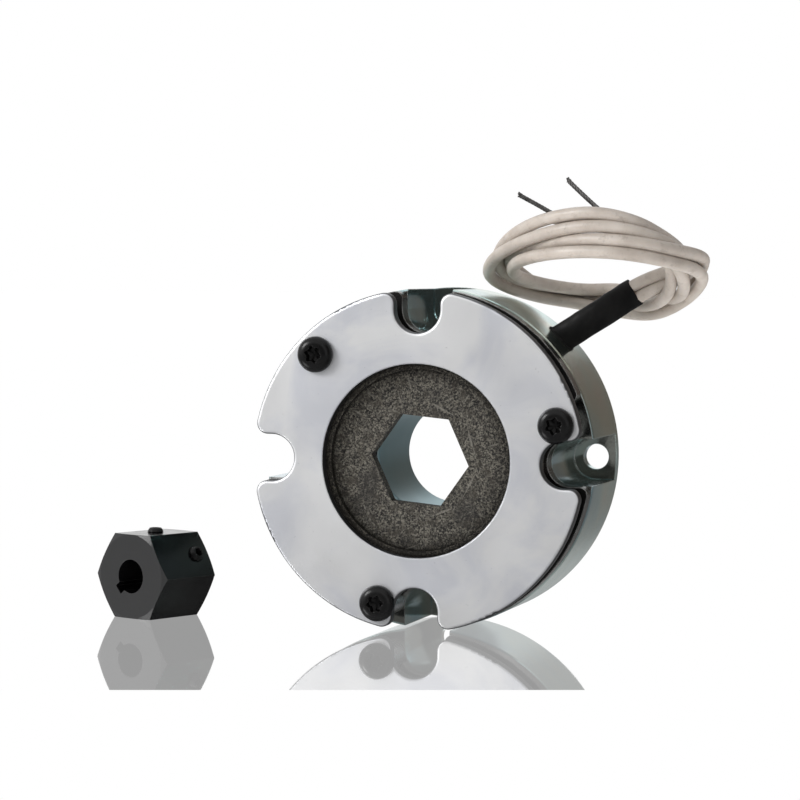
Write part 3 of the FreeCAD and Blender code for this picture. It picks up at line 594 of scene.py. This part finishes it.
class BRAKE_OT_screws(bpy.types.Operator):
    """Build the three button-head screws with their six-lobe recesses"""
    bl_idname = "brake.build_screws"
    bl_label = "Build plate screws"

    def execute(self, context):
        given = context.scene.brake_fasteners
        for number in range(3):
            turn = math.radians(given.start + 120 * number)
            middle = given.circle / 2
            centre = Vector((middle * math.cos(turn), given.seat, middle * math.sin(turn)))
            self.build(given, number + 1, centre)
        return {"FINISHED"}

    def build(self, given, number, centre):
        """One screw from its tip over the thread and the head down into the recess."""
        across, up, outward = Vector((1, 0, 0)), Vector((0, 0, 1)), Vector((0, -1, 0))
        head = given.head / 2
        tall = given.head_height
        flat = head * 0.48
        shoulder = 0.00035
        recess = 0.00155
        pitch = 0.0006
        steps = 12

        def ring(radius_at, height):
            return ring_points(centre + outward * height, across, up, radius_at, 72)

        profile = threads(given.shank / 2, given.seat - given.tip, 0.0, pitch)
        profile += [(head * 0.985, 0.0), (head, 0.00008)]
        for k in range(1, steps + 1):
            lean = math.radians(90 * k / steps)
            profile.append((flat + (head - flat) * math.cos(lean),
                            shoulder + (tall - shoulder) * math.sin(lean)))
        rings = [ring(steady(radius), height) for radius, height in profile]
        for size, down in ((1.07, 0.0), (1.0, 0.00012), (0.94, 0.0015), (0.5, 0.0018)):
            rings.append(ring(six_lobes(recess * size, 0.4 * number), tall - down))
        rings.append(ring(steady(0.0001), tall - 0.0020))
        screw = loft("button_screw_%d" % number, rings, "black_oxide")
        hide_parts("plate_screw_%d" % number)


class BRAKE_OT_set_screws(bpy.types.Operator):
    """Build the hub's two threaded set screws with their hexagonal sockets"""
    bl_idname = "brake.build_set_screws"
    bl_label = "Build set screws"

    def execute(self, context):
        for name, node, roll, along in (("upper_set_screw", "top_set_screw", 0, 0.0066),
                                        ("flank_set_screw", "side_set_screw", 60, 0.0104)):
            self.build(name, node, roll, along)
        return {"FINISHED"}

    def build(self, name, node, roll, along):
        """One set screw from its point at the hub's bore out to the bottom of its socket."""
        axis = Vector((math.sin(HUB_TURN), math.cos(HUB_TURN), 0.0))
        aside = Vector((math.cos(HUB_TURN), -math.sin(HUB_TURN), 0.0))
        lean = math.radians(roll)
        outward = aside * math.sin(lean) + Vector((0, 0, 1)) * math.cos(lean)
        up = outward.cross(axis)
        centre = HUB_FRONT + axis * along
        near = 0.003475
        far = 0.008775
        radius = 0.0015
        pitch = 0.0005

        def ring(radius_at, height):
            return ring_points(centre + outward * height, axis, up, radius_at, 48)

        profile = [(radius * 0.55, near), (radius * 0.8, near + 0.0003)]
        profile += threads(radius, near + 0.0005, far - 0.0004, pitch)
        profile += [(radius * 0.76, far - 0.00006), (radius * 0.70, far)]
        rings = [ring(steady(wide), height) for wide, height in profile]
        for size, down in ((0.00155, 0.0), (0.0015, 0.0001), (0.0015, 0.0014)):
            rings.append(ring(hexagon(size, 0.2), far - down))
        screw = loft(name, rings, "black_oxide")
        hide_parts(node)


# The two leads with their sleeve and bare ends.
# The coil's middle line is an oval in space, as in the part's source, here in metres.
COIL_CENTRE = Vector((0.02896, -0.0131, 0.03529))
COIL_LONG = Vector((0.813, -0.572, 0.113)).normalized()
COIL_NORMAL = COIL_LONG.cross(Vector((-0.572, -0.744, 0.346))).normalized()
COIL_SHORT = COIL_NORMAL.cross(COIL_LONG)
COIL_LONG_HALF = 0.0209
COIL_SHORT_HALF = 0.0145

# Each lead's lane in the coil: the turn in degrees, then how far outside and above the middle line
# it lies, in millimetres. The turns are loose: they swap places and fan out below the sleeve.
UPPER_LANE = [
    (-40, -1.7, 1.2), (-15, -1.3, 2.0), (10, -0.9, 2.6), (50, 1.0, 4.2), (100, 0.7, 2.4),
    (150, 0.7, -0.7), (190, 0.1, 0.0), (235, 1.3, 1.3), (255, 2.4, -0.3), (275, 2.9, -2.0),
    (320, 1.7, 2.4), (345, 3.0, 1.2), (365, 2.9, -0.4), (410, 0.2, -0.6), (460, -2.5, -0.3),
    (510, -1.3, 0.5), (530, 0.4, 1.9), (550, 2.4, 0.9), (595, 1.8, -1.1), (615, 0.1, -1.1),
    (640, -1.5, -3.6), (680, -3.1, -1.9), (730, -3.2, 2.2), (775, -1.3, 4.7),
]
LOWER_LANE = [
    (-40, 0.1, 0.3), (10, 1.2, 1.0), (50, 0.6, 1.9), (100, 0.1, 0.0), (150, 2.4, -2.2),
    (190, 2.4, -1.6), (235, -0.6, -2.1), (255, 0.3, -3.5), (275, 1.0, -4.1), (320, 2.4, -0.5),
    (365, 2.2, -2.5), (410, 0.0, -2.9), (460, -1.0, -3.0), (510, -2.9, -1.7), (550, -2.2, -0.3),
    (595, -1.2, 0.5), (615, -0.6, 1.2), (640, 0.6, -1.6), (680, -0.7, -2.6), (730, -1.0, 0.3),
    (770, -2.2, 2.9), (805, -1.3, 4.2),
]


def lane_at(lane, turn):
    """How far outside and above the middle line a lane lies at a turn, eased between its keys."""
    turns = [key[0] for key in lane]
    place = max(k for k in range(len(lane) - 1) if turns[k] <= turn or k == 0)
    before = lane[max(place - 1, 0)]
    first, second = lane[place], lane[place + 1]
    after = lane[min(place + 2, len(lane) - 1)]
    along = (turn - first[0]) / (second[0] - first[0])
    span = second[0] - first[0]
    values = []
    for k in (1, 2):
        leave = (second[k] - before[k]) / (second[0] - before[0]) * span
        arrive = (after[k] - first[k]) / (after[0] - first[0]) * span
        eased = (2 * along ** 3 - 3 * along ** 2 + 1) * first[k]
        eased += (along ** 3 - 2 * along ** 2 + along) * leave
        eased += (3 * along ** 2 - 2 * along ** 3) * second[k] + (along ** 3 - along ** 2) * arrive
        values.append(eased)
    return values


def coil_point(turn, outside, above):
    """A point beside the coil's middle line; outside and above are in millimetres."""
    angle = math.radians(turn)
    radial = (COIL_LONG * (math.cos(angle) / COIL_LONG_HALF)
              + COIL_SHORT * (math.sin(angle) / COIL_SHORT_HALF)).normalized()
    line = COIL_LONG * (COIL_LONG_HALF * math.cos(angle))
    line += COIL_SHORT * (COIL_SHORT_HALF * math.sin(angle))
    return COIL_CENTRE + line + radial * (outside * MM) - COIL_NORMAL * (above * MM)


def coil_points(lane, per_turn):
    """The route through the coil, worked out turn by turn."""
    first, last = lane[0][0], lane[-1][0]
    count = round((last - first) * per_turn / 360)
    return [coil_point(turn, *lane_at(lane, turn))
            for turn in (first + (last - first) * k / count for k in range(count + 1))]


def exit_place(given):
    """Where the leads leave the rim, the outward direction there and the sleeve's direction."""
    exit_turn = math.radians(given.exit_turn)
    lean = math.radians(given.sleeve_turn)
    radial = Vector((math.cos(exit_turn), 0, math.sin(exit_turn)))
    leaning = Vector((math.cos(lean), 0, math.sin(lean)))
    surface = Vector((given.rim * math.cos(exit_turn), -given.station, given.rim * math.sin(exit_turn)))
    return surface, radial, leaning


def exit_points(given, side):
    """From the winding, through the rim and along the sleeve; side is 1 for the upper lead."""
    surface, radial, leaning = exit_place(given)
    winding = Vector((0, -given.station, 0)) + radial * 0.0216
    stops = [(winding, radial), (surface, (radial + leaning).normalized()),
             (surface + leaning * 0.009, leaning), (surface + leaning * 0.0186, leaning)]
    return [point + Vector((-way.z, 0, way.x)) * (side * given.wire / 2) for point, way in stops]


def smooth_curve(name, points, thickness):
    """A curve of one open spline that follows the route's points."""
    data = bpy.data.curves.new(name, "CURVE")
    data.dimensions = "3D"
    data.resolution_u = 10
    data.bevel_depth = thickness / 2
    data.bevel_resolution = 7
    data.use_fill_caps = True
    spline = data.splines.new("NURBS")
    spline.points.add(len(points) - 1)
    for control, point in zip(spline.points, points):
        control.co = (*point, 1.0)
    spline.order_u = 3
    spline.use_endpoint_u = True
    return placed(name, data)


def centreline(points):
    """The smooth line that a curve through the route's points follows."""
    bare = smooth_curve("route", points, 0.0)
    bpy.context.view_layer.update()
    mesh = bpy.data.meshes.new_from_object(bare)
    line = [vertex.co.copy() for vertex in mesh.vertices]
    bpy.data.objects.remove(bare)
    bpy.data.meshes.remove(mesh)
    return line


def length_of(line):
    """The length of a line of points."""
    return sum((second - first).length for first, second in zip(line, line[1:]))


def resampled(line, count):
    """Evenly spaced points along a line."""
    total = length_of(line)
    points = [line[0]]
    walked = 0.0
    for first, second in zip(line, line[1:]):
        step = (second - first).length
        while len(points) < count - 1 and walked + step >= total * len(points) / (count - 1):
            share = (total * len(points) / (count - 1) - walked) / step
            points.append(first.lerp(second, share))
        walked += step
    points.append(line[-1])
    return points


def carried_frames(line):
    """Two directions square to the line at each point, carried along it without twisting."""
    last = len(line) - 1
    ways = [(line[min(k + 1, last)] - line[max(k - 1, 0)]).normalized() for k in range(last + 1)]
    side = ways[0].orthogonal().normalized()
    frames = []
    for way in ways:
        side = (side - way * side.dot(way)).normalized()
        frames.append((side, way.cross(side)))
    return frames


def twisted_strands(name, points, given):
    """Six bare strands twisted round a seventh, spread and of uneven length at the tip."""
    line = resampled(centreline(points), 46)
    frames = carried_frames(line)
    mesh = bmesh.new()
    outer = 6
    for number in range(outer + 1):
        strand = []
        for k, (point, (side, other)) in enumerate(zip(line, frames)):
            along = k / (len(line) - 1)
            turn = 2 * math.pi * (number / outer + along * 2.4)
            splay = 0.35 * max(0.0, along - 0.9) * 10
            away = given.strand * (0.86 + splay) if number < outer else 0.0
            strand.append(point + side * (away * math.cos(turn)) + other * (away * math.sin(turn)))
        strand = strand[:len(line) - (number * 2) % 5]
        rows = []
        for point, (side, other) in zip(strand, carried_frames(strand)):
            ring = ring_points(point, side, other, steady(given.strand / 2), 7)
            rows.append([mesh.verts.new(corner) for corner in ring])
        join_rows(mesh, rows)
        mesh.faces.new(rows[0][::-1])
        mesh.faces.new(rows[-1])
    bmesh.ops.recalc_face_normals(mesh, faces=mesh.faces)
    for face in mesh.faces:
        face.smooth = len(face.verts) == 4
    return mesh_piece(name, mesh, "tinned_strand")


class BRAKE_OT_leads(bpy.types.Operator):
    """Build the two leads, wound loosely together, with their twisted bare ends"""
    bl_idname = "brake.build_leads"
    bl_label = "Build leads"

    BARE_TIPS = {
        1: [Vector((0.0302, -0.0254, 0.0472)), Vector((0.0262, -0.0242, 0.0508))],
        2: [Vector((0.0215, -0.0232, 0.0458)), Vector((0.0172, -0.0242, 0.0481))],
    }

    def execute(self, context):
        given = context.scene.brake_leads
        for number, side, lane, bare_node in ((1, 1, UPPER_LANE, "bare_end_2"),
                                              (2, -1, LOWER_LANE, "bare_end_1")):
            route = exit_points(given, side) + coil_points(lane, given.points_per_turn)
            wire = smooth_curve("white_lead_%d" % number, route, given.wire)
            wire.data.materials.append(finish_named("white_wire"))
            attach(wire, "magnet")
            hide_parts("lead_%d" % number, "lead_coil")
            stripped = [route[-1].lerp(route[-2], 0.2)] + self.BARE_TIPS[number]
            bare = twisted_strands("bare_strands_%d" % number, stripped, given)
            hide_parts(bare_node)
            length_of(centreline(route))
        return {"FINISHED"}


class BRAKE_OT_sleeve(bpy.types.Operator):
    """Build the shrink sleeve over the two leads, with its torn collar at the rim"""
    bl_idname = "brake.build_sleeve"
    bl_label = "Build sleeve"

    def execute(self, context):
        given = context.scene.brake_leads
        surface, _, leaning = exit_place(given)
        wide = Vector((-leaning.z, 0, leaning.x))
        deep = Vector((0, -1, 0))
        wall = 0.00035
        half_wide = given.wire + wall
        half_deep = given.wire / 2 + wall
        slant = math.tan(math.radians(given.exit_turn - given.sleeve_turn))
        corners = 64
        steps = 32

        def ring(along, grow, wobble, settle=0.0):
            """A flat-sided oval round the leads; settle 1 lays it on the rim's surface."""
            points = []
            for k in range(corners):
                turn = 2 * math.pi * k / corners
                x = abs(math.cos(turn)) ** 0.78 * math.copysign(1, math.cos(turn)) * (half_wide + grow)
                y = abs(math.sin(turn)) ** 0.92 * math.copysign(1, math.sin(turn)) * (half_deep + grow)
                point = surface + leaning * (along - x * slant * settle) + wide * x + deep * y
                ripple = noise.noise(point * 420.0) * wobble
                points.append(point + (wide * x + deep * y).normalized() * ripple)
            return points

        reach = given.sleeve_reach + 0.00124
        rings = [ring(-0.0003, 0.0, 0.0, 1.0)]
        rings += [ring(reach * k / steps, 0.0, 0.00012, max(0.0, 1 - k / 8)) for k in range(steps + 1)]
        rings += [ring(reach + 0.00006, -0.00012, 0.00008), ring(reach, -0.00030, 0.00004),
                  ring(reach - 0.003, -0.00032, 0.00004)]
        sleeve = loft("shrink_sleeve", rings, "black_rubber", sharp=50.0)
        lip = self.torn_lip(ring, surface)
        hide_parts("lead_sleeve")
        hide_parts("lead_grommet")
        return {"FINISHED"}

    def torn_lip(self, ring, surface):
        """The thin lip where the sleeve meets the rim, torn into small tips."""
        rings = []
        for along, grow in ((-0.0003, 0.00003), (-0.00003, 0.00030), (0.00008, 0.00028),
                            (0.00022, 0.00010), (0.00030, 0.00002)):
            torn = []
            for point in ring(along, grow, 0.0, 1.0):
                tear = noise.noise(point * 1300.0) * grow * 1.6
                torn.append(point + (point - surface).normalized() * tear)
            rings.append(torn)
        return loft("torn_lip", rings, "black_rubber", capped=False, sharp=40.0)


# The lamp, the world, the floor and the camera.

def make_lamp(given):
    """The soft key lamp, a square in front at the upper left, aimed at the brake."""
    place = Vector((-0.58, -0.42, 0.36))
    target = Vector((0, -0.015, 0))
    data = bpy.data.lights.new("key", "AREA")
    data.shape = "SQUARE"
    data.size = 0.26
    data.energy = given.key_power
    lamp = placed("key", data)
    lamp.location = place
    lamp.rotation_mode = "QUATERNION"
    lamp.rotation_quaternion = (target - place).to_track_quat("-Z", "Y")


def make_world(given):
    """White to the camera; metal sees a pale front, a bright left and back and a dark right side."""
    world = bpy.data.worlds.new("studio")
    world.use_nodes = True
    tree = world.node_tree
    tree.nodes.clear()
    way = add_node(tree, "ShaderNodeTexCoord").outputs["Generated"]
    parts = add_node(tree, "ShaderNodeSeparateXYZ", {0: way})
    side = add_node(tree, "ShaderNodeMath", {0: parts.outputs["Y"], 1: -0.10, 2: parts.outputs["X"]},
                    operation="MULTIPLY_ADD")
    right = spread(tree, side.outputs[0], 0.0, 1.0, -0.10, -0.02)
    behind = spread(tree, parts.outputs["Y"], 0.0, 1.0, -0.60, -0.35)
    under = spread(tree, parts.outputs["Z"], 1.0, 0.0, 0.65, 0.85)
    dark = add_node(tree, "ShaderNodeMath", {0: right, 1: behind}, operation="MULTIPLY")
    dark = add_node(tree, "ShaderNodeMath", {0: dark.outputs[0], 1: under}, operation="MULTIPLY")
    forward = add_node(tree, "ShaderNodeVectorMath", {0: way, 1: (0.0, -1.0, 0.0)},
                       operation="DOT_PRODUCT").outputs["Value"]
    front = spread(tree, forward, 0.0, 1.0, 0.76, 0.92)
    tone = given.front_tone
    deep = given.dark_tone
    seen = mix_colour(tree, front, (1.0, 1.0, 1.0), (tone * 1.05, tone, tone * 0.92))
    seen = mix_colour(tree, dark.outputs[0], seen, (deep * 1.18, deep, deep * 0.86))
    glossy = add_node(tree, "ShaderNodeBackground", {"Color": seen, "Strength": 1.0})
    soft = add_node(tree, "ShaderNodeBackground", {"Color": (1, 1, 1, 1), "Strength": given.ambient})
    white = add_node(tree, "ShaderNodeBackground", {"Color": (1, 1, 1, 1), "Strength": 1.0})
    rays = add_node(tree, "ShaderNodeLightPath")
    clear = add_node(tree, "ShaderNodeMath", {0: rays.outputs["Is Camera Ray"],
                                              1: rays.outputs["Is Transmission Ray"]},
                     operation="MAXIMUM")
    first = add_node(tree, "ShaderNodeMixShader", {0: rays.outputs["Is Glossy Ray"], 1: soft.outputs[0],
                                                   2: glossy.outputs[0]})
    both = add_node(tree, "ShaderNodeMixShader", {0: clear.outputs[0], 1: first.outputs[0],
                                                  2: white.outputs[0]})
    add_node(tree, "ShaderNodeOutputWorld", {0: both.outputs[0]})
    bpy.context.scene.world = world


def floor_finish(name, mirror_share, bounce, fill):
    """White that mirrors what stands on it and lights its undersides."""
    material, tree, shader = new_material(name)
    tree.nodes.remove(shader)
    rays = add_node(tree, "ShaderNodeLightPath")
    pale = add_node(tree, "ShaderNodeMath", {0: rays.outputs["Is Camera Ray"],
                                             1: rays.outputs["Is Diffuse Ray"]}, operation="MAXIMUM")
    glow = spread(tree, pale.outputs[0], bounce, 1.0, 0.0, 1.0)
    strength = add_node(tree, "ShaderNodeMath", {0: rays.outputs["Is Diffuse Ray"], 1: fill, 2: glow},
                        operation="MULTIPLY_ADD").outputs[0]
    white = add_node(tree, "ShaderNodeEmission", {"Color": (1, 1, 1, 1), "Strength": strength})
    haze = spread(tree, noise_value(tree, 30.0), 0.012, 0.03)
    mirror = add_node(tree, "ShaderNodeBsdfGlossy", {"Color": glow, "Roughness": haze})
    mixed = add_node(tree, "ShaderNodeMixShader", {0: mirror_share, 1: white.outputs[0],
                                                   2: mirror.outputs[0]})
    tree.links.new(mixed.outputs[0], tree.nodes["Material Output"].inputs[0])
    return material


def camera_axes(given):
    """The camera's right, up and backward directions."""
    turn, dip, roll = (math.radians(value) for value in (given.camera_turn, given.camera_dip,
                                                          given.camera_roll))
    back = Vector((math.sin(turn) * math.cos(dip), -math.cos(turn) * math.cos(dip), math.sin(dip)))
    right = Vector((math.cos(turn), math.sin(turn), 0))
    up = back.cross(right)
    rolled = right * math.cos(roll) + up * math.sin(roll)
    upright = up * math.cos(roll) - right * math.sin(roll)
    return rolled, upright, back


def make_floor(given):
    """A gloss sheet with its front edge square to the view, and matt white in front of it."""
    right, up, back = camera_axes(given)
    half_width = 3.0
    front_depth = 0.6
    edge = []
    for across in (-half_width, half_width):
        ray = right * across - up * given.sheet_edge - back
        along = (given.floor_height - given.camera_place[2]) / ray.z
        edge.append(Vector(given.camera_place) + ray * along)
    ahead = Vector((-back.x, -back.y, 0)).normalized()
    far, near = ahead * given.floor_size, ahead * -front_depth
    data = bpy.data.meshes.new("floor")
    data.from_pydata([edge[0], edge[1], edge[1] + far, edge[0] + far, edge[0] + near, edge[1] + near],
                     [], [(0, 1, 2, 3), (4, 5, 1, 0)])
    data.materials.append(floor_finish("gloss_sheet", given.mirror_share, given.bounce, given.fill))
    data.materials.append(floor_finish("matt_front", 0.0, given.bounce, 0.0))
    data.polygons[1].material_index = 1
    placed("floor", data)


def make_camera(given):
    """The camera of the main view."""
    data = bpy.data.cameras.new("camera")
    data.sensor_width = 36
    data.lens = given.lens
    data.clip_start = 0.02
    data.clip_end = 50
    camera = placed("camera", data)
    camera.matrix_world = (Matrix.Translation(given.camera_place)
                           @ Matrix(camera_axes(given)).transposed().to_4x4())
    bpy.context.scene.camera = camera


class BRAKE_OT_stage(bpy.types.Operator):
    """Build the floor, the soft light and the camera"""
    bl_idname = "brake.build_stage"
    bl_label = "Build stage"

    def execute(self, context):
        given = context.scene.brake_stage
        make_world(given)
        make_floor(given)
        make_lamp(given)
        make_camera(given)
        context.scene.view_settings.view_transform = "Standard"
        return {"FINISHED"}


class BRAKE_PT_panel(bpy.types.Panel):
    """Settings and buttons of the brake dresser"""
    bl_label = "Brake"
    bl_space_type = "VIEW_3D"
    bl_region_type = "UI"
    bl_category = "Brake"

    def draw(self, context):
        for name in GROUPS:
            group = getattr(context.scene, name)
            box = self.layout.box()
            for setting in group.__annotations__:
                box.prop(group, setting)
        for operator in OPERATORS:
            self.layout.operator(operator.bl_idname)


OPERATORS = (BRAKE_OT_finishes, BRAKE_OT_screws, BRAKE_OT_set_screws, BRAKE_OT_leads, BRAKE_OT_sleeve,
             BRAKE_OT_stage)
GROUPS = {"brake_stage": BrakeStageSettings, "brake_fasteners": BrakeFastenerSettings,
          "brake_leads": BrakeLeadSettings}


def register():
    """Add the settings, the operators and the panel."""
    for kind in (*GROUPS.values(), *OPERATORS, BRAKE_PT_panel):
        bpy.utils.register_class(kind)
    for name, kind in GROUPS.items():
        setattr(bpy.types.Scene, name, PointerProperty(type=kind))


def unregister():
    """Take away what register added."""
    for name in GROUPS:
        delattr(bpy.types.Scene, name)
    for kind in (BRAKE_PT_panel, *reversed(OPERATORS), *GROUPS.values()):
        bpy.utils.unregister_class(kind)


def main():
    """Dress the brake."""
    register()
    bpy.ops.brake.apply_finishes()
    bpy.ops.brake.build_screws()
    bpy.ops.brake.build_set_screws()
    bpy.ops.brake.build_leads()
    bpy.ops.brake.build_sleeve()
    bpy.ops.brake.build_stage()
    bpy.context.view_layer.update()


if __name__ == "__main__":
    main()
